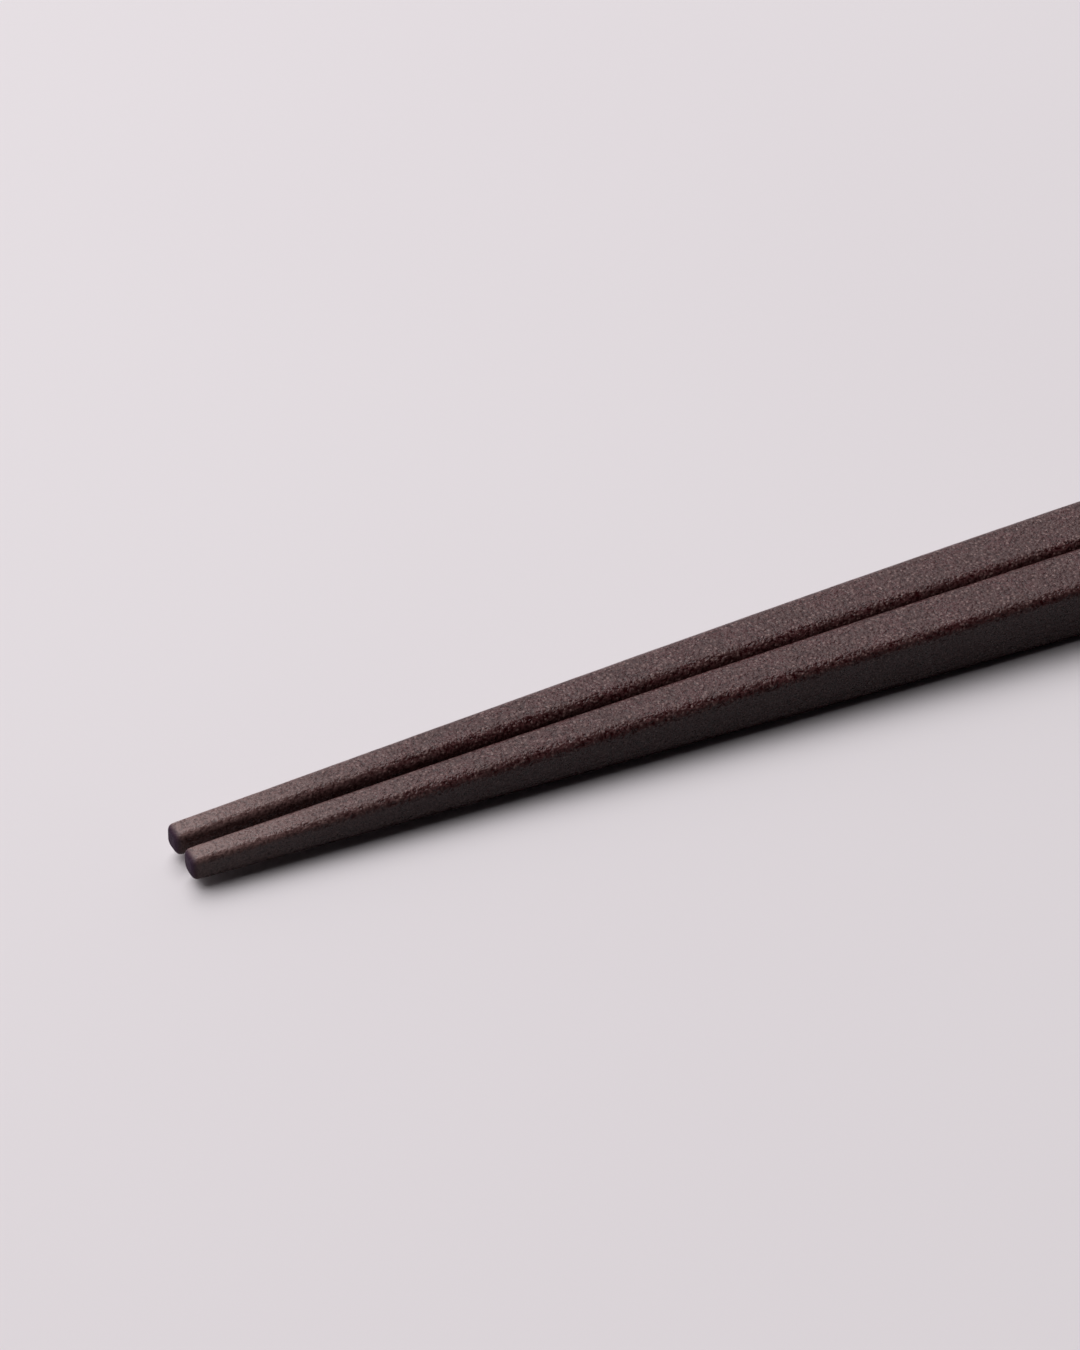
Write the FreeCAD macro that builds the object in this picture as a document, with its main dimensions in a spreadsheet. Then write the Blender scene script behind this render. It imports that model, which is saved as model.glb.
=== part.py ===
import FreeCAD, Part
import Sketcher
import math
import os

# A pair of lacquered wooden chopsticks, lying side by side on a table with their tips level.
# Each stick is one piece of wood. Its handle is a straight square taper with rounded corners
# and flats of one width. From the knee on, the blade narrows faster, and its flats with it.
# The handle's flat underside lies on the table, and the blade's underside rises a little off
# the table towards the tip.
#
# Frame: the origin is on the table, under the middle of the pair. The sticks lie along X,
# with their tips towards -X and their heads towards +X, and Z is up.
# In its own frame a stick's handle has its middle line on X, and the tip's end face is at X = 0.

SIZES = {
    "stick_length": 230.0,  # from the tip to the head
    "head_width": 7.6,  # across the stick at the head
    "knee_width": 6.3,  # across the stick at the knee
    "knee_distance": 112.0,  # from the tip to the knee, where the straight handle begins
    "tip_width": 2.3,  # across the stick at the tip
    "tip_flare": 0.06,  # width that the tip gains in each millimetre of its length
    "tip_lift": 0.8,  # between the tip's underside and the table
    "flat_width": 4.2,  # each of the handle's four flats, between its rounded corners
    "tip_flat_width": 1.1,  # what is left of each flat at the tip
    "round_distance": 2.0,  # from the tip to where the flats begin to widen
    "tip_edge_radius": 0.54,  # the rounded edge of the tip's end
    "head_edge_radius": 0.4,  # the eased edge of the head's end
    "nearest_distance": 75.0,  # from the tips to where the two sticks lie closest
    "stick_clearance": 0.05,  # between the two sticks where they lie closest
}

# The near stick lies towards -Y and the far stick towards +Y.
SIDES = {"near_chopstick": -1, "far_chopstick": 1}

BLADE_SPANS = 8  # stretches of the blade between its drawn sections
WALL_SHARE = 0.9  # an end's rounded edge takes at most this share of the corner radius there
TOUCHING = 1e-4  # an edge this close to an end face lies in it

HANDLE_TAPER = (
    "((Sizes.head_width - Sizes.knee_width) / (Sizes.stick_length - Sizes.knee_distance))"
)


def blade_width(share):
    """Width of the blade at a share of its length, which is 0 at the tip and 1 at the knee.

    The outline is a cubic: it leaves the tip with the tip's flare and meets the handle's taper.
    """
    return (
        f"(Sizes.tip_width * (2 * {share}^3 - 3 * {share}^2 + 1)"
        f" + Sizes.knee_width * (3 * {share}^2 - 2 * {share}^3)"
        f" + Sizes.knee_distance * Sizes.tip_flare * ({share}^3 - 2 * {share}^2 + {share})"
        f" + Sizes.knee_distance * {HANDLE_TAPER} * ({share}^3 - {share}^2))"
    )


def blade_taper(share):
    """Width that the blade gains in each millimetre of length, at a share of its length."""
    return (
        f"((Sizes.knee_width - Sizes.tip_width) / Sizes.knee_distance * 6 * ({share} - {share}^2)"
        f" + Sizes.tip_flare * (3 * {share}^2 - 4 * {share} + 1)"
        f" + {HANDLE_TAPER} * (3 * {share}^2 - 2 * {share}))"
    )


def blade_flat(share):
    """Width of each flat of the blade: it swells gently from the tip to the knee."""
    start = "Sizes.round_distance / Sizes.knee_distance"
    swell = f"max(({share} - {start}) / (1 - {start}); 0)"
    eased = f"(3 * {swell}^2 - 2 * {swell}^3)"
    return f"(Sizes.tip_flat_width + (Sizes.flat_width - Sizes.tip_flat_width) * {eased})"


def blade_offset(share):
    """How far the middle of the blade stands above the handle's middle line; it is negative.

    The blade's underside starts from the line of the handle's underside, and is lifted off it.
    """
    handle_line = f"(Sizes.knee_width - Sizes.knee_distance * (1 - {share}) * {HANDLE_TAPER})"
    lift = f"Sizes.tip_lift * (1 - {share})^2"
    return f"({lift} + ({blade_width(share)} - {handle_line}) / 2)"


def corner_radius(width, flat):
    return f"(({width} - {flat}) / 2)"


def write_sheet(doc):
    sheet = doc.addObject("Spreadsheet::Sheet", "Sizes")
    for row, (name, value) in enumerate(SIZES.items(), start=1):
        sheet.set(f"A{row}", name)
        sheet.set(f"B{row}", str(value))
        sheet.setAlias(f"B{row}", name)
    doc.recompute()


def draw_rounded_square(sketch, width, radius):
    """Draw four sides about the stick's axis, each with the corner arc that follows it."""
    up = FreeCAD.Vector(0, 0, 1)
    inner = width / 2 - radius
    sides = []
    corners = []
    for quarter in range(4):
        turn = FreeCAD.Rotation(up, 90 * quarter)
        start = turn.multVec(FreeCAD.Vector(-inner, -width / 2, 0))
        end = turn.multVec(FreeCAD.Vector(inner, -width / 2, 0))
        sides.append(sketch.addGeometry(Part.LineSegment(start, end)))
        circle = Part.Circle(turn.multVec(FreeCAD.Vector(inner, -inner, 0)), up, radius)
        first = math.radians(90 * quarter - 90)
        last = math.radians(90 * quarter)
        corners.append(sketch.addGeometry(Part.ArcOfCircle(circle, first, last)))
    return sides, corners


def join_rounded_square(sketch, sides, corners):
    """Make the sides and corners run into each other, level, equal and centred on the axis."""
    for quarter, side in enumerate(sides):
        corner = corners[quarter]
        next_side = sides[(quarter + 1) % 4]
        sketch.addConstraint(Sketcher.Constraint("Tangent", side, 2, corner, 1))
        sketch.addConstraint(Sketcher.Constraint("Tangent", corner, 2, next_side, 1))
    for number, direction in enumerate(("Horizontal", "Vertical", "Horizontal", "Vertical")):
        sketch.addConstraint(Sketcher.Constraint(direction, sides[number]))
    for corner in corners[1:]:
        sketch.addConstraint(Sketcher.Constraint("Equal", corners[0], corner))
    sketch.addConstraint(Sketcher.Constraint("Symmetric", corners[0], 3, corners[2], 3, -1, 1))


def tie_size(sketch, name, constraint, size):
    """Add a dimension to the sketch and bind it to the sheet."""
    index = sketch.addConstraint(constraint)
    sketch.renameConstraint(index, name)
    sketch.setExpression(f"Constraints.{name}", size)


def add_section(body, name, distance, width, flat, offset="0"):
    """A rounded square across the stick, at a distance from its tip and raised by an offset."""
    plane = next(item for item in body.Origin.OriginFeatures if item.Role == "YZ_Plane")
    sketch = body.newObject("Sketcher::SketchObject", name)
    sketch.AttachmentSupport = [(plane, "")]
    sketch.MapMode = "FlatFace"
    sketch.setExpression("AttachmentOffset.Base.y", offset)
    sketch.setExpression("AttachmentOffset.Base.z", distance)
    radius = corner_radius(width, flat)
    width_now = sketch.evalExpression(width)
    radius_now = sketch.evalExpression(radius)
    sides, corners = draw_rounded_square(sketch, width_now, radius_now)
    join_rounded_square(sketch, sides, corners)
    bottom, right, top, left = sides
    across = Sketcher.Constraint("DistanceX", left, 1, right, 1, width_now)
    upright = Sketcher.Constraint("DistanceY", bottom, 1, top, 1, width_now)
    rounding = Sketcher.Constraint("Radius", corners[0], radius_now)
    tie_size(sketch, "across", across, width)
    tie_size(sketch, "upright", upright, width)
    tie_size(sketch, "rounding", rounding, radius)
    return sketch


def add_loft(body, name, sections, straight):
    loft = body.newObject("PartDesign::AdditiveLoft", name)
    loft.Profile = sections[0]
    loft.Sections = sections[1:]
    loft.Ruled = straight
    body.Document.recompute()


def round_end(body, name, distance, radius, corner):
    """Round the edge of the end face at a distance from the tip, as far as its corners allow."""
    solid = body.Tip
    station = solid.evalExpression(distance)
    edges = [
        f"Edge{number}"
        for number, edge in enumerate(solid.Shape.Edges, start=1)
        if all(abs(vertex.X - station) < TOUCHING for vertex in edge.Vertexes)
    ]
    fillet = body.newObject("PartDesign::Fillet", name)
    fillet.Base = (solid, edges)
    fillet.setExpression("Radius", f"min({radius}; {WALL_SHARE} * {corner})")
    body.Document.recompute()


def shape_stick(body):
    """Model one stick in its own frame, from its tip along X."""
    name = body.Name
    blade_sections = []
    for span in range(BLADE_SPANS + 1):
        share = f"({span} / {BLADE_SPANS})"
        distance = f"{share} * Sizes.knee_distance"
        section = add_section(
            body,
            f"{name}_blade_section_{span}",
            distance,
            blade_width(share),
            blade_flat(share),
            blade_offset(share),
        )
        blade_sections.append(section)
    head_section = add_section(
        body, f"{name}_head_section", "Sizes.stick_length", "Sizes.head_width", "Sizes.flat_width"
    )
    body.Document.recompute()
    add_loft(body, f"{name}_blade", blade_sections, False)
    add_loft(body, f"{name}_handle", [blade_sections[-1], head_section], True)
    tip_corner = corner_radius("Sizes.tip_width", "Sizes.tip_flat_width")
    head_corner = corner_radius("Sizes.head_width", "Sizes.flat_width")
    round_end(body, f"{name}_tip_end", "0", "Sizes.tip_edge_radius", tip_corner)
    round_end(
        body, f"{name}_head_end", "Sizes.stick_length", "Sizes.head_edge_radius", head_corner
    )


def lay_stick(body, side):
    """Lay a stick on its handle's underside, beside its twin.

    The sticks would touch where they lie closest, but for the clearance, so each is turned
    by half of the blade's taper there: past that place, on both sides, they draw apart.
    """
    nearest = "(Sizes.nearest_distance / Sizes.knee_distance)"
    turn = f"atan({blade_taper(nearest)} / 2)"
    tilt = f"atan({HANDLE_TAPER} / 2)"
    half_width = f"{blade_width(nearest)} / 2 * cos({turn})"
    aside = f"(Sizes.stick_clearance / 2 + {half_width} - Sizes.nearest_distance * sin({turn}))"
    height = f"(Sizes.knee_width - Sizes.knee_distance * {HANDLE_TAPER}) / 2 * cos({tilt})"
    tip = f"vector(-Sizes.stick_length / 2; {side} * {aside}; {height})"
    body.setExpression("Placement", f"placement({tip}; rotation({side} * {turn}; -{tilt}; 0))")


def make_stick(doc, name, side):
    body = doc.addObject("PartDesign::Body", name)
    body.Label = name
    shape_stick(body)
    lay_stick(body, side)
    return body


def check(doc, sticks):
    """Stop before anything is written, if a feature failed or a stick isn't one sound solid."""
    for item in doc.Objects:
        if "Invalid" in item.State or "Error" in item.State:
            raise RuntimeError(f"{item.Name} failed: {item.State}")
    for stick in sticks:
        shape = stick.Shape
        if shape.isNull() or not shape.isValid() or len(shape.Solids) != 1:
            raise RuntimeError(f"{stick.Label} isn't one sound solid")


doc = FreeCAD.newDocument("chopsticks")
write_sheet(doc)
sticks = [make_stick(doc, name, side) for name, side in SIDES.items()]
doc.recompute()
check(doc, sticks)

os.makedirs("parts", exist_ok=True)
for stick in sticks:
    stick.Shape.exportStep(f"parts/{stick.Label}.step")
    print(stick.Label, f"{stick.Shape.Volume:.1f} cubic millimetres")
print("gap between the sticks", f"{sticks[0].Shape.distToShape(sticks[1].Shape)[0]:.3f} mm")
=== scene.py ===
# %% [markdown]
# # A pair of lacquered chopsticks
#
# The object is two slim sticks of wood, lying side by side with their tips level. Each one has
# a square handle with rounded corners, and a blade that stays square but narrows to a blunt tip.
# A dark, sandy lacquer covers them all over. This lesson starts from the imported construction
# model, which says where each stick lies, and gives the sticks their fine shape and their finish.

# %% Load the construction model
import math

import bpy
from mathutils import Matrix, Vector


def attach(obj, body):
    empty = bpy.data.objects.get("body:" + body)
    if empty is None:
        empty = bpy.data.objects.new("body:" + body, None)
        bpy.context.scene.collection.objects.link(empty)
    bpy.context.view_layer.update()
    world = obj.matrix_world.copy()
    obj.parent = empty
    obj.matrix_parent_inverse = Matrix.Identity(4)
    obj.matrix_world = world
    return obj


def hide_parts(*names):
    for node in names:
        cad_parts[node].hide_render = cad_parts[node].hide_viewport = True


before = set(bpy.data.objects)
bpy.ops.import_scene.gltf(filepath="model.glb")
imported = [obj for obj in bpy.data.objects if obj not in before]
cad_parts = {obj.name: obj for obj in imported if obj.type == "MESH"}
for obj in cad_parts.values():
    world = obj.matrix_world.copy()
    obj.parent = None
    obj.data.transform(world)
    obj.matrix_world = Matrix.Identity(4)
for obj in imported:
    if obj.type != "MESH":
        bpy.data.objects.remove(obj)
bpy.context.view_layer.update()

MILLIMETRE = 0.001


def in_millimetres(lengths):
    """Turn lengths in metres into short numbers of millimetres."""
    return [round(length / MILLIMETRE, 2) for length in lengths]


print("construction nodes:", sorted(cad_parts))

# %% [markdown]
# ## The outline of a stick
#
# The handle tapers in a straight line from the head to a knee near the stick's middle. From
# there the blade narrows more and more quickly towards the tip. The outline could be drawn by
# eye, but a cubic formula meets the straight handle without a kink, so that the gloss runs over
# the knee in one line.
#
# The details of a chopstick are smaller than a millimetre, and the bevel tool loses details of
# that size when they are given in metres. So the sticks are made at a thousand times their size,
# where one unit is one millimetre, and brought down to metres when they are finished.

# %% Width along the stick, in millimetres
STICK_LENGTH = 230.0
HEAD_WIDTH = 7.6
KNEE_WIDTH = 6.3
KNEE_DISTANCE = 112.0
TIP_WIDTH = 2.3
TIP_FLARE = 0.06

HANDLE_TAPER = (HEAD_WIDTH - KNEE_WIDTH) / (STICK_LENGTH - KNEE_DISTANCE)


def width_at(distance):
    """Width across the stick, at a distance from its tip."""
    if distance >= KNEE_DISTANCE:
        return KNEE_WIDTH + HANDLE_TAPER * (distance - KNEE_DISTANCE)
    share = distance / KNEE_DISTANCE
    return (
        TIP_WIDTH * (2 * share**3 - 3 * share**2 + 1)
        + KNEE_WIDTH * (3 * share**2 - 2 * share**3)
        + KNEE_DISTANCE * TIP_FLARE * (share**3 - 2 * share**2 + share)
        + KNEE_DISTANCE * HANDLE_TAPER * (share**3 - share**2)
    )


for distance in (0, 30, 60, KNEE_DISTANCE, STICK_LENGTH):
    print(f"the stick is {width_at(distance):.2f} mm wide at {distance} mm from its tip")

# %% [markdown]
# ## Underside and flats
#
# The handle lies flat on the table. The blade's underside runs on from it, and lifts off the
# table by less than a millimetre at the tip. The four flats between the rounded corners keep
# one width along the handle, and narrow gently along the blade. Both could be shaped later with
# a lattice, but it is simpler to give each section its right height and corners from the start.

# %% Middle line and flats along the stick
TIP_LIFT = 0.8
FLAT_WIDTH = 4.2
TIP_FLAT_WIDTH = 1.1
ROUND_DISTANCE = 2.0


def drop_at(distance):
    """How far the blade's middle lies under the handle's middle line."""
    if distance >= KNEE_DISTANCE:
        return 0
    lift = TIP_LIFT * (1 - distance / KNEE_DISTANCE) ** 2
    handle_line = KNEE_WIDTH - HANDLE_TAPER * (KNEE_DISTANCE - distance)
    return (handle_line - width_at(distance)) / 2 - lift


def flat_at(distance):
    """Width of each of the four flats between the rounded corners."""
    swell = (distance - ROUND_DISTANCE) / (KNEE_DISTANCE - ROUND_DISTANCE)
    swell = min(max(swell, 0), 1)
    return TIP_FLAT_WIDTH + (FLAT_WIDTH - TIP_FLAT_WIDTH) * (3 * swell**2 - 2 * swell**3)


for distance in (0, KNEE_DISTANCE, STICK_LENGTH):
    print(f"at {distance} mm the flats are {flat_at(distance):.2f} mm wide")

# %% [markdown]
# ## The body of a stick
#
# A real stick is planed to a square taper, and its four long corners are then sanded round. It
# could be made from a stretched cube, but the corners need a radius that changes all the way
# along: just over half a millimetre at the tip and nearly two at the head. So the stick is built
# as a boat's hull is: plain squares stand across it at even stations, the bevel tool rounds the
# corners of each, and bridging them in one go lays the skin from tip to head.

# %% Stand the sections and bridge them
TIP_EDGE_RADIUS = 0.54
HEAD_EDGE_RADIUS = 0.4
CORNER_STEPS = 6
STATIONS = 46
CUTS_BETWEEN = 3


def start_piece(name):
    """Begin an empty mesh object and open it in edit mode."""
    bpy.ops.object.select_all(action="DESELECT")
    bpy.ops.mesh.primitive_plane_add(size=1)
    piece = bpy.context.active_object
    piece.name = name
    piece.data.name = name
    bpy.ops.object.mode_set(mode="EDIT")
    bpy.ops.mesh.delete(type="VERT")
    return piece


def add_section(distance):
    """Stand a rounded square across the stick and keep only its rim."""
    width = width_at(distance)
    radius = (width - flat_at(distance)) / 2
    middle = (distance, 0, -drop_at(distance))
    upright = (0, math.pi / 2, 0)
    bpy.ops.mesh.primitive_plane_add(size=width, location=middle, rotation=upright)
    bpy.ops.mesh.bevel(affect="VERTICES", offset=radius, segments=CORNER_STEPS)
    bpy.ops.mesh.delete(type="ONLY_FACE")


first_section = TIP_EDGE_RADIUS
last_section = STICK_LENGTH - HEAD_EDGE_RADIUS
stick = start_piece("near_stick")
for station in range(STATIONS + 1):
    add_section(first_section + (last_section - first_section) * station / STATIONS)
bpy.ops.mesh.select_all(action="SELECT")
bpy.ops.mesh.bridge_edge_loops(number_cuts=CUTS_BETWEEN, interpolation="LINEAR")
bpy.ops.object.mode_set(mode="OBJECT")
print("skin:", len(stick.data.polygons), "faces from", STATIONS + 1, "sections")

# %% [markdown]
# ## The two ends
#
# The tip ends in a small face with a well rounded edge, and the head in a flat square whose edge
# is just eased. A bevel on a single sharp edge would do for one end, but it pulls the rounded
# corners out of shape. So both are made alike: the open end is closed with a face, which is
# drawn out in a few steps that follow a quarter circle. Inside the rounded edge the face is
# drawn in by smaller rings, so that the smoothing has even faces to work on, and the last ring
# is merged to a point.

# %% Close and round the ends
EDGE_STEPS = 4
CAP_RINGS = 4
SAME_PLACE = 0.001
DOUBLES_WITHIN = 0.0001


def select_at(piece, distance):
    """Select the vertices that stand at one distance from the tip."""
    bpy.ops.object.mode_set(mode="EDIT")
    bpy.ops.mesh.select_all(action="DESELECT")
    bpy.ops.object.mode_set(mode="OBJECT")
    for vertex in piece.data.vertices:
        vertex.select = abs(vertex.co.x - distance) < SAME_PLACE
    bpy.ops.object.mode_set(mode="EDIT")


def draw_out(advance, scale, middle):
    """Extrude the selected face along the stick and resize it about the stick's middle."""
    bpy.ops.mesh.extrude_region_move(TRANSFORM_OT_translate={"value": (advance, 0, 0)})
    bpy.ops.transform.resize(value=(1, scale, scale), center_override=middle)


def round_end(piece, start, outward, radius):
    """Close an open end, and draw it out along a quarter circle."""
    select_at(piece, start)
    middle = (start, 0, -drop_at(start))
    bpy.ops.mesh.edge_face_add()
    rim = size = width_at(start)
    reach = 0
    for step in range(1, EDGE_STEPS + 1):
        angle = math.pi / 2 * step / EDGE_STEPS
        advance = radius * math.sin(angle) - reach
        reach += advance
        scale = (rim - 2 * radius * (1 - math.cos(angle))) / size
        size *= scale
        draw_out(outward * advance, scale, middle)
    for ring in range(CAP_RINGS, 0, -1):
        draw_out(0, ring / (ring + 1), middle)
    bpy.ops.mesh.merge(type="CENTER")


bpy.context.tool_settings.mesh_select_mode = (True, False, False)
round_end(stick, first_section, -1, TIP_EDGE_RADIUS)
round_end(stick, last_section, 1, HEAD_EDGE_RADIUS)
bpy.ops.mesh.select_all(action="SELECT")
bpy.ops.mesh.remove_doubles(threshold=DOUBLES_WITHIN)
bpy.ops.mesh.normals_make_consistent(inside=False)
bpy.ops.object.mode_set(mode="OBJECT")
print("closed cage:", len(stick.data.polygons), "faces")

# %% [markdown]
# ## Smoothing
#
# Lacquer is brushed on in many coats, and it leaves no hard line anywhere. Shading alone could
# hide the cage's flat faces, but not the corners in its outline. A subdivision surface turns the
# cage into one even skin. It is applied at once, because the next steps work on the fine skin.

# %% Smooth the skin
SMOOTHING_LEVEL = 2


def apply_modifier(piece, kind, settings):
    """Add a modifier to a piece, set it and apply it."""
    bpy.ops.object.select_all(action="DESELECT")
    piece.select_set(True)
    bpy.context.view_layer.objects.active = piece
    modifier = piece.modifiers.new(kind.title(), kind)
    for setting, value in settings.items():
        setattr(modifier, setting, value)
    bpy.ops.object.modifier_apply(modifier=modifier.name)


levels = {"levels": SMOOTHING_LEVEL, "render_levels": SMOOTHING_LEVEL}
apply_modifier(stick, "SUBSURF", levels)
bpy.ops.object.shade_smooth()
print("smooth skin:", len(stick.data.polygons), "faces")

# %% [markdown]
# ## The pair
#
# Both sticks are alike, so the second is a copy with a mesh of its own. They lie on their lower
# flats, which tips the middle line up a little towards the thick end, and each is turned a touch
# sideways, so that they all but touch at one place along their blades and part from there on
# towards the heads. They could be pushed together by eye, but the turn is known: it is half the
# taper of the blade at that place.

# %% Lay the sticks side by side
NEAREST_DISTANCE = 75.0
STICK_CLEARANCE = 0.05


def taper_at(distance):
    """Width that the blade gains in each millimetre of length."""
    share = distance / KNEE_DISTANCE
    return (
        (KNEE_WIDTH - TIP_WIDTH) / KNEE_DISTANCE * 6 * (share - share**2)
        + TIP_FLARE * (3 * share**2 - 4 * share + 1)
        + HANDLE_TAPER * (3 * share**2 - 2 * share)
    )


turn = math.atan(taper_at(NEAREST_DISTANCE) / 2)
tilt = math.atan(HANDLE_TAPER / 2)
half_nearest = width_at(NEAREST_DISTANCE) / 2 * math.cos(turn)
side_shift = STICK_CLEARANCE / 2 + half_nearest - NEAREST_DISTANCE * math.sin(turn)
tip_height = (KNEE_WIDTH - KNEE_DISTANCE * HANDLE_TAPER) / 2 * math.cos(tilt)


def lay_down(piece, side):
    """Turn and move a stick to its place on the table, on the -Y or +Y side."""
    piece.rotation_euler = (0, -tilt, side * turn)
    piece.location = (-STICK_LENGTH / 2, side * side_shift, tip_height)
    bpy.ops.object.select_all(action="DESELECT")
    piece.select_set(True)
    bpy.context.view_layer.objects.active = piece
    bpy.ops.object.transform_apply(location=True, rotation=True, scale=False)


far_stick = stick.copy()
far_stick.data = stick.data.copy()
far_stick.name = "far_stick"
far_stick.data.name = "far_stick"
bpy.context.collection.objects.link(far_stick)
lay_down(stick, -1)
lay_down(far_stick, 1)
pair = [stick, far_stick]
print(f"each stick is turned {math.degrees(turn):.2f} and tipped {math.degrees(tilt):.2f} degrees")

# %% [markdown]
# ## Hand-brushed unevenness
#
# Close up, the lacquer isn't quite even: the brush leaves low waves a millimetre or two long.
# They could be sculpted, but a displace modifier with a cloud texture does it all over, and
# dents the skin by a few hundredths of a millimetre. It dents only inwards, so the sticks never
# touch. It comes after the sticks are laid down, because the clouds then differ from one stick
# to the other. Last, the pair is brought down to metres.

# %% Dent the skin and bring it to metres
WAVE_LENGTH = 1.6
WAVE_DEPTH = 0.03
WAVE_DETAIL = 2

waves = bpy.data.textures.new("brushed_waves", "CLOUDS")
waves.noise_scale = WAVE_LENGTH
waves.noise_depth = WAVE_DETAIL


def finish_skin(piece):
    """Dent the skin with low waves, then scale it to metres."""
    dents = {"texture": waves, "texture_coords": "LOCAL", "mid_level": 1, "strength": WAVE_DEPTH}
    apply_modifier(piece, "DISPLACE", dents)
    piece.scale = (MILLIMETRE, MILLIMETRE, MILLIMETRE)
    bpy.ops.object.transform_apply(location=False, rotation=False, scale=True)


for piece in pair:
    finish_skin(piece)
    heights = [corner[2] for corner in piece.bound_box]
    print(piece.name, "stands from, to, in mm:", in_millimetres([min(heights), max(heights)]))

# %% [markdown]
# ## Tie the pieces to the model
#
# Each fine stick takes the place of its plain construction solid and moves with the one body.
# The two could be joined into one mesh, but real chopsticks are two pieces, so they stay two.

# %% Replace the plain sticks
for piece, node in zip(pair, ("near_chopstick", "far_chopstick")):
    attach(piece, "root")
    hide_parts(node)
    print(piece.name, "stands for", node)

# %% [markdown]
# ## A small language for materials
#
# A material is a formula that gives each point of the surface its colour, its gloss and its
# relief. Node by node such a formula is hard to read, so a small class lets it be written as
# plain sums: each value stands for a node's output, and adding two values adds a maths node.
# The function that adds the nodes comes next.

# %% The class for node formulas


class Socket:
    """One output of a node, which can be used in sums."""

    def __init__(self, tree, output):
        self.tree = tree
        self.output = output

    def beside(self, name):
        """Another output of the same node."""
        return Socket(self.tree, self.output.node.outputs[name])

    def math(self, operation, *values, clamp=False):
        """Add a maths node that works on this value and on others."""
        inputs = dict(enumerate((self,) + values))
        settings = {"operation": operation, "use_clamp": clamp}
        return add_node(self.tree, "ShaderNodeMath", settings, inputs)

    def __add__(self, other):
        return self.math("ADD", other)

    def __radd__(self, other):
        return self.math("ADD", other)

    def __sub__(self, other):
        return self.math("SUBTRACT", other)

    def __rsub__(self, other):
        return (self * -1).math("ADD", other)

    def __mul__(self, other):
        return self.math("MULTIPLY", other)

    def __rmul__(self, other):
        return self.math("MULTIPLY", other)

    def ramp(self, start, end):
        """Rise smoothly from 0 to 1 between two values."""
        inputs = {"Value": self, "From Min": start, "From Max": end}
        settings = {"interpolation_type": "SMOOTHSTEP"}
        return add_node(self.tree, "ShaderNodeMapRange", settings, inputs, "Result")


print("values can be written as sums")

# %% [markdown]
# ## Helpers for materials
#
# One function adds any kind of node: its settings come first, because they can change which
# sockets it has. Two more steps come back in every material here: blending two colours, and
# soft noise in patches of a given size. A mix node has sockets of the same name for numbers,
# vectors and colours, so those for colours are named by their place in its list.

# %% Helpers for nodes, colours and noise
MIX_FACTOR, MIX_FIRST, MIX_SECOND, MIX_RESULT = 0, 6, 7, 2
EVEN_NOISE = 0.5


def add_node(tree, kind, settings, inputs, output=0):
    """Add one node: its settings first, then its values and links."""
    node = tree.nodes.new(kind)
    for setting, value in settings.items():
        setattr(node, setting, value)
    for name, value in inputs.items():
        if isinstance(value, Socket):
            tree.links.new(value.output, node.inputs[name])
        else:
            node.inputs[name].default_value = value
    return Socket(tree, node.outputs[output])


def start_material(name):
    """Begin a material, and give it with its tree and its main shader."""
    material = bpy.data.materials.new(name)
    material.use_nodes = True
    return material, material.node_tree, material.node_tree.nodes["Principled BSDF"]


def mix_colours(tree, factor, first, second):
    """Blend two colours by a factor."""
    inputs = {MIX_FACTOR: factor, MIX_FIRST: first, MIX_SECOND: second}
    return add_node(tree, "ShaderNodeMix", {"data_type": "RGBA"}, inputs, MIX_RESULT)


def noise(tree, place, size, harshness=EVEN_NOISE):
    """Soft noise whose patches are about one size, in metres."""
    inputs = {"Vector": place, "Scale": 1 / size, "Roughness": harshness}
    return add_node(tree, "ShaderNodeTexNoise", {}, inputs, "Fac")


print("material helpers are ready")

# %% [markdown]
# ## The lacquer's patterns
#
# The finish is a dark lacquer with fine sand or powder in it. Its colour drifts between a warm
# reddish brown and a cooler grey brown, in patches of about two millimetres. Over that lies a
# grain of a third of a millimetre. Pale specks are laid on it too: partly pale grains, and
# partly painted glints where grains would catch the lamp. A painted picture could show all this,
# but it would stretch where the stick tapers. So each pattern is a formula in the sticks' own
# space: noises for patches and grain, and cells for specks, which one more noise thins out here
# and there.

# %% Lay out patches, grain and specks
PATCH_SIZE = 0.0022
PATCH_RANGE = (0.38, 0.64)
GRAIN_SIZE = 0.00033
GRAIN_HARSHNESS = 0.6
SPECK_SIZE = 0.00034
SPECK_RANGE = (0.10, 0.50)
SCATTER_SIZE = 0.000578
SCATTER_RANGE = (0.42, 0.54)

lacquer, tree, shader = start_material("sandy_lacquer")
place = add_node(tree, "ShaderNodeTexCoord", {}, {}, "Object")
patches = noise(tree, place, PATCH_SIZE).ramp(*PATCH_RANGE)
grain = noise(tree, place, GRAIN_SIZE, GRAIN_HARSHNESS)
cell_inputs = {"Vector": place, "Scale": 1 / SPECK_SIZE}
cells = add_node(tree, "ShaderNodeTexVoronoi", {}, cell_inputs, "Distance")
scatter = noise(tree, place, SCATTER_SIZE).ramp(*SCATTER_RANGE)
# The specks are partly pale grains, partly painted glints.
grain_and_glint_specks = (1 - cells.ramp(*SPECK_RANGE)) * scatter
print("the patterns take", len(tree.nodes), "nodes so far")

# %% [markdown]
# ## Paler tips and dark ends
#
# Towards the tips the brown is paler and the grain is shallower. The paler brown is a painted
# highlight, for the light that falls more on the tips and their rounded edges; the shallower
# grain is wear. The very ends are nearly black and matt: the black is painted shade on the end
# faces. Both could be painted by hand, but they depend only on the distance from the tips. So
# two fades along the stick do it: a long one, strong at the tips and soon weaker, and a very
# short one.

# %% Fade the painted highlight and wear, and the painted end shade, along the stick
HIGHLIGHT_AND_WEAR_LENGTH = 0.05
HIGHLIGHT_AND_WEAR_FALL = 4
SHADED_END_LENGTH = 0.0007

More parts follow.
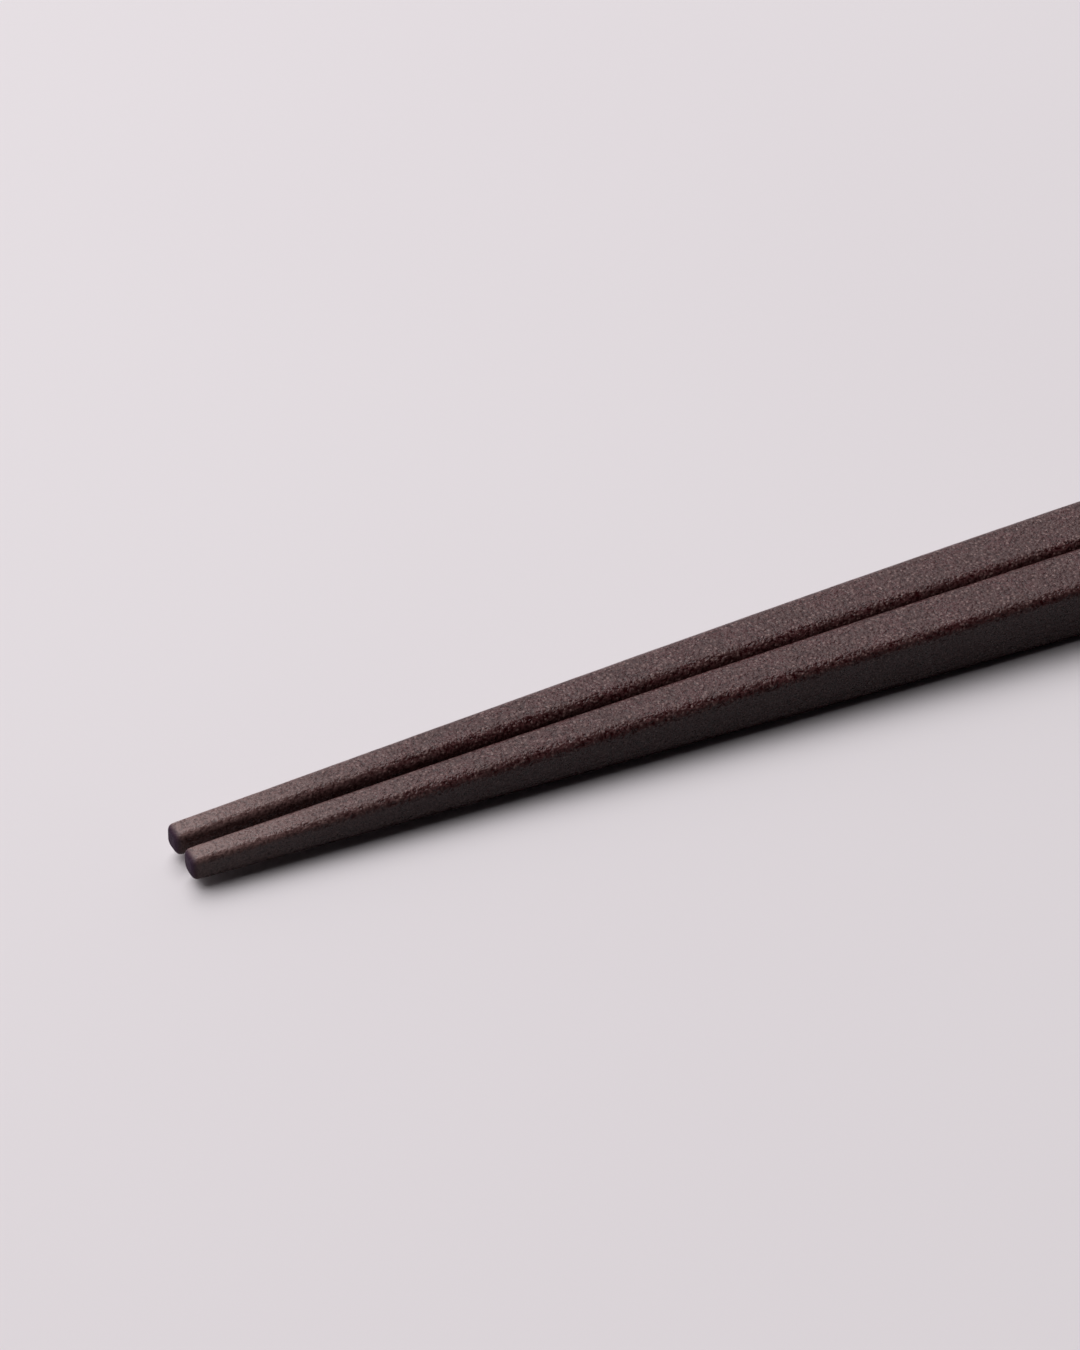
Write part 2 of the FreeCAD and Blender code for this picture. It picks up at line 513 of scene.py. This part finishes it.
tips = -STICK_LENGTH / 2 * MILLIMETRE
along = add_node(tree, "ShaderNodeSeparateXYZ", {}, {"Vector": place}, "X")
# The long fade paints a highlight on the tips, and makes their grain shallower as wear.
kept = (along - tips).math("MULTIPLY", 1 / HIGHLIGHT_AND_WEAR_LENGTH, clamp=True)
highlight_and_wear = (1 - kept).math("POWER", HIGHLIGHT_AND_WEAR_FALL)
# The short fade marks the ends, which get painted shade and a matt finish.
shaded_matt_ends = 1 - along.ramp(tips, tips + SHADED_END_LENGTH)
print("worn for", HIGHLIGHT_AND_WEAR_LENGTH, "m and dipped for", SHADED_END_LENGTH, "m from the tips")

# %% [markdown]
# ## The lacquer's colour
#
# The colour is laid on in this order: the drifting brown, darker in the grain's pits and paler
# towards the tips as painted highlight, then the pale specks, partly painted glints, and last
# the painted shade that darkens the ends. One texture could hold the sum of it all, but in steps
# each part can be judged and changed by itself.

# %% Mix the colour
WARM_BROWN = (0.075, 0.0265, 0.0275, 1)
COOL_BROWN = (0.0665, 0.0285, 0.0275, 1)
DEEP_BROWN = (0.028, 0.003, 0.004, 1)
# The two paler browns below are painted highlight on the tips.
HIGHLIGHT_BROWN = (0.200, 0.122, 0.114, 1)
HIGHLIGHT_DEEP = (0.100, 0.055, 0.052, 1)
# The speck colour is partly pale grains, partly painted glints.
GRAIN_AND_GLINT_COLOUR = (0.192, 0.116, 0.109, 1)
# The nearly black end colour is painted shade on the end faces.
END_SHADE_COLOUR = (0.020, 0.003, 0.020, 1)
GRAIN_RANGE = (0.38, 0.54)

brown = mix_colours(tree, patches, WARM_BROWN, COOL_BROWN)
# Towards the tips the browns turn paler: painted highlight.
raised_brown = mix_colours(tree, highlight_and_wear, brown, HIGHLIGHT_BROWN)
pitted_brown = mix_colours(tree, highlight_and_wear, DEEP_BROWN, HIGHLIGHT_DEEP)
grained = mix_colours(tree, grain.ramp(*GRAIN_RANGE), pitted_brown, raised_brown)
sanded = mix_colours(tree, grain_and_glint_specks, grained, GRAIN_AND_GLINT_COLOUR)
# Last, painted shade darkens the ends.
colour = mix_colours(tree, shaded_matt_ends, sanded, END_SHADE_COLOUR)
tree.links.new(colour.output, shader.inputs["Base Color"])
print("the colour is mixed with", len(tree.nodes), "nodes so far")

# %% [markdown]
# ## The lacquer's gloss and relief
#
# The lacquer itself is smooth and glossy, so a rounded corner that faces the dark room looks
# nearly black. The grain breaks the gloss on its high places, and the ends, painted dark as
# shade, are matt. The relief of the grain is far too fine to model, so a bump node tilts the
# light instead.

# %% Add gloss and relief
LEAST_ROUGHNESS = 0.12
GRAIN_ROUGHNESS = 0.28
PATCH_ROUGHNESS = 0.06
MATT_END_ROUGHNESS = 0.45
LACQUER_IOR = 1.34
GRAIN_RELIEF = 0.0002
FULL_STRENGTH = 1.0
RUBBED_DOWN = 0.5

sandy_gloss = LEAST_ROUGHNESS + GRAIN_ROUGHNESS * grain + PATCH_ROUGHNESS * patches
gloss = sandy_gloss + MATT_END_ROUGHNESS * shaded_matt_ends
height = grain * (1 - RUBBED_DOWN * highlight_and_wear)
bump_inputs = {"Height": height, "Strength": FULL_STRENGTH, "Distance": GRAIN_RELIEF}
relief = add_node(tree, "ShaderNodeBump", {}, bump_inputs, "Normal")
tree.links.new(gloss.output, shader.inputs["Roughness"])
tree.links.new(relief.output, shader.inputs["Normal"])
shader.inputs["IOR"].default_value = LACQUER_IOR
for piece in pair:
    piece.data.materials.clear()
    piece.data.materials.append(lacquer)
print("lacquer made with", len(tree.nodes), "nodes")

# %% [markdown]
# ## The table top
#
# The sticks lie on a plain matt table top that runs on far out of sight. Its faint pinkish white
# carries the soft shadow, which anchors them. A bare plane is enough, but it gets a trace of
# tone, as a real board has. The camera, and the lacquer's gloss, see it pale. For soft light
# that bounces off it, a darker colour takes its place: a board this pale would light up the
# sides of the sticks from below, and they are nearly black.

# %% Lay the table top
FLOOR_SIZE = 24.0
FLOOR_CENTRE = (0.735, 0.690, 0.715, 1)
FLOOR_CLOUD = (0.745, 0.702, 0.726, 1)
FLOOR_BOUNCE = (0.10, 0.095, 0.098, 1)
CLOUD_SIZE = 0.12
CLOUD_RANGE = (0.3, 0.7)

bpy.ops.object.select_all(action="DESELECT")
bpy.ops.mesh.primitive_plane_add(size=FLOOR_SIZE)
floor = bpy.context.active_object
floor.name = "table_top"
board, tree, shader = start_material("matt_board")
place = add_node(tree, "ShaderNodeTexCoord", {}, {}, "Object")
clouds = noise(tree, place, CLOUD_SIZE).ramp(*CLOUD_RANGE)
tone = mix_colours(tree, clouds, FLOOR_CENTRE, FLOOR_CLOUD)
camera_rays = add_node(tree, "ShaderNodeLightPath", {}, {}, "Is Camera Ray")
mirrored = camera_rays.beside("Is Glossy Ray") + camera_rays.beside("Is Transmission Ray")
seen = (camera_rays + mirrored).math("MINIMUM", 1)
floor_colour = mix_colours(tree, seen, FLOOR_BOUNCE, tone)
tree.links.new(floor_colour.output, shader.inputs["Base Color"])
shader.inputs["Roughness"].default_value = 1.0
shader.inputs["Specular IOR Level"].default_value = 0.0
floor.data.materials.append(board)
print("table top is", FLOOR_SIZE, "m across")

# %% [markdown]
# ## The lamp
#
# One broad soft lamp hangs above the sticks, behind them and a little to the left. It gives the
# tops their even light, lets the sides towards the viewer stay dark, and lays a soft shadow in
# front. A small lamp would do that too, but its shadow would have a hard edge.

# %% Hang the lamp
LAMP_SIZE = (2.0, 0.85)
LAMP_DIRECTION = Vector((-0.28, 0.44, 0.90)).normalized()
LAMP_DISTANCE = 1.3
LAMP_POWER = 22.7

bpy.ops.object.light_add(type="AREA", location=LAMP_DISTANCE * LAMP_DIRECTION)
lamp = bpy.context.active_object
lamp.name = "soft_lamp"
lamp.data.shape = "RECTANGLE"
lamp.data.size, lamp.data.size_y = LAMP_SIZE
lamp.data.energy = LAMP_POWER
lamp.rotation_euler = LAMP_DIRECTION.to_track_quat("Z", "Y").to_euler()
print("lamp stands at", [round(side, 2) for side in lamp.location], "m")

# %% [markdown]
# ## The room
#
# The room is dim on the viewer's side. On the far side it has a pale wall and a pale horizon, so
# that low views don't end in darkness, and on the left a low window, which reaches under the
# lifted tips. They could be planes that stand about the table, but those would get in the way
# of a viewer who walks round it. So the room is a formula of the direction alone: each part of
# it fades in between two slants, along X to the left, along Y to the back or along Z upwards.

# %% Dim the room
ROOM_COLOUR = (0.010, 0.009, 0.010, 1)
HORIZON_COLOUR = (0.72, 0.69, 0.71, 1)
WALL_COLOUR = (0.60, 0.57, 0.59, 1)
WINDOW_COLOUR = (1.0, 0.96, 0.98, 1)
WALL_BACK, WALL_TOP = (0.0, 0.5), (0.55, 0.80)
WINDOW_LEFT, WINDOW_BACK = (0.45, 0.80), (-0.10, 0.15)
WINDOW_SILL, WINDOW_TOP = (0.0, 0.15), (0.5, 0.7)
HORIZON_BACK, HORIZON_RIM = (0.0, 0.3), (0.12, 0.20)

room = bpy.data.worlds.new("dim_room")
bpy.context.scene.world = room
room.use_nodes = True
tree = room.node_tree
direction = add_node(tree, "ShaderNodeTexCoord", {}, {}, "Generated")
right = add_node(tree, "ShaderNodeSeparateXYZ", {}, {"Vector": direction}, "X")
back = right.beside("Y")
up = right.beside("Z")
wall = back.ramp(*WALL_BACK) * (1 - up.ramp(*WALL_TOP))
window_width = (right * -1).ramp(*WINDOW_LEFT) * back.ramp(*WINDOW_BACK)
window_height = up.ramp(*WINDOW_SILL) * (1 - up.ramp(*WINDOW_TOP))
horizon = back.ramp(*HORIZON_BACK) * (1 - up.math("ABSOLUTE").ramp(*HORIZON_RIM))
sky = mix_colours(tree, window_width * window_height, ROOM_COLOUR, WINDOW_COLOUR)
sky = mix_colours(tree, wall, sky, WALL_COLOUR)
sky = mix_colours(tree, horizon, sky, HORIZON_COLOUR)
tree.links.new(sky.output, tree.nodes["Background"].inputs["Color"])
print("room made with", len(tree.nodes), "nodes")

# %% [markdown]
# ## The camera
#
# The viewer stands on the near side, towards the tip end, and looks down at the sticks at a
# little under forty degrees, through a long lens from half a metre away. A shorter lens could
# stand closer, but the blades would then spread too quickly towards the handles. They rise
# across the middle of the view from left to right, and the handles run out at its right edge.

# %% Set up the camera
AIM_FROM_TIPS = 0.03877
AIM_SIDEWAYS = 0.01065
VIEW_AZIMUTH = math.radians(-25.88)
VIEW_ELEVATION = math.radians(38.39)
VIEW_DISTANCE = 0.50899
LENS = 154.82
SENSOR_WIDTH = 36
NEAREST_SEEN = 0.01

aim = Vector((tips + AIM_FROM_TIPS, AIM_SIDEWAYS, 0))
towards_viewer = Vector((
    math.sin(VIEW_AZIMUTH) * math.cos(VIEW_ELEVATION),
    -math.cos(VIEW_AZIMUTH) * math.cos(VIEW_ELEVATION),
    math.sin(VIEW_ELEVATION),
))
bpy.ops.object.camera_add(location=aim + VIEW_DISTANCE * towards_viewer)
camera = bpy.context.active_object
camera.name = "viewer"
camera.data.lens = LENS
camera.data.sensor_width = SENSOR_WIDTH
camera.data.clip_start = NEAREST_SEEN
camera.rotation_euler = towards_viewer.to_track_quat("Z", "Y").to_euler()
bpy.context.scene.camera = camera
bpy.context.scene.view_settings.view_transform = "Standard"
print("camera stands at", [round(side, 3) for side in camera.location], "m")
